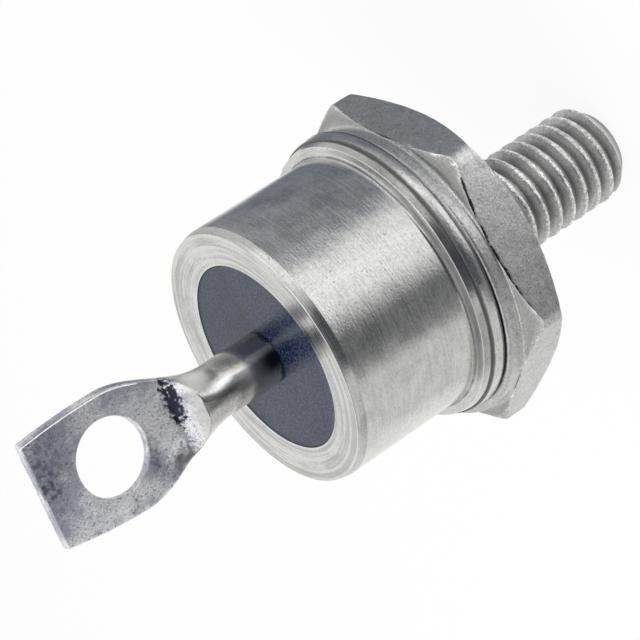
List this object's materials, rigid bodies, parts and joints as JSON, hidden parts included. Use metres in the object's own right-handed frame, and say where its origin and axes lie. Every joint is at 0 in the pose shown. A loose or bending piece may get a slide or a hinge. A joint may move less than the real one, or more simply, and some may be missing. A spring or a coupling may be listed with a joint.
{
  "type": "stud-mounted rectifier diode",
  "caption": "Stud-mounted rectifier diode: round potted metal housing on a hexagon base, with a threaded stud below and a flattened, pierced wire terminal above.",
  "frame": {"origin": "on the axis, on the seat face of the hexagon, where the stud leaves it", "axes": "+Z along the axis towards the terminal, X along the width of the flat terminal, Y across its faces"},
  "size_m": [0.0196, 0.019, 0.0395],
  "materials": {
    "forged_nickel": "matt nickel plating on a forged and rolled base",
    "turned_nickel": "satin nickel plating over fine turning lines",
    "tinned_wire": "bright tin plating, mottled where the press flattened it",
    "solder": "dull dark solder",
    "silicon": "smooth sawn silicon",
    "epoxy": "semi-matt cast epoxy"
  },
  "bodies": {
    "root": {"stud_base": "forged_nickel", "base_solder": "solder", "housing_cup": "turned_nickel", "die_solder": "solder", "silicon_die": "silicon", "lead_solder": "solder", "terminal_lead": "tinned_wire", "potting": "epoxy"}
  },
  "joints": []
}
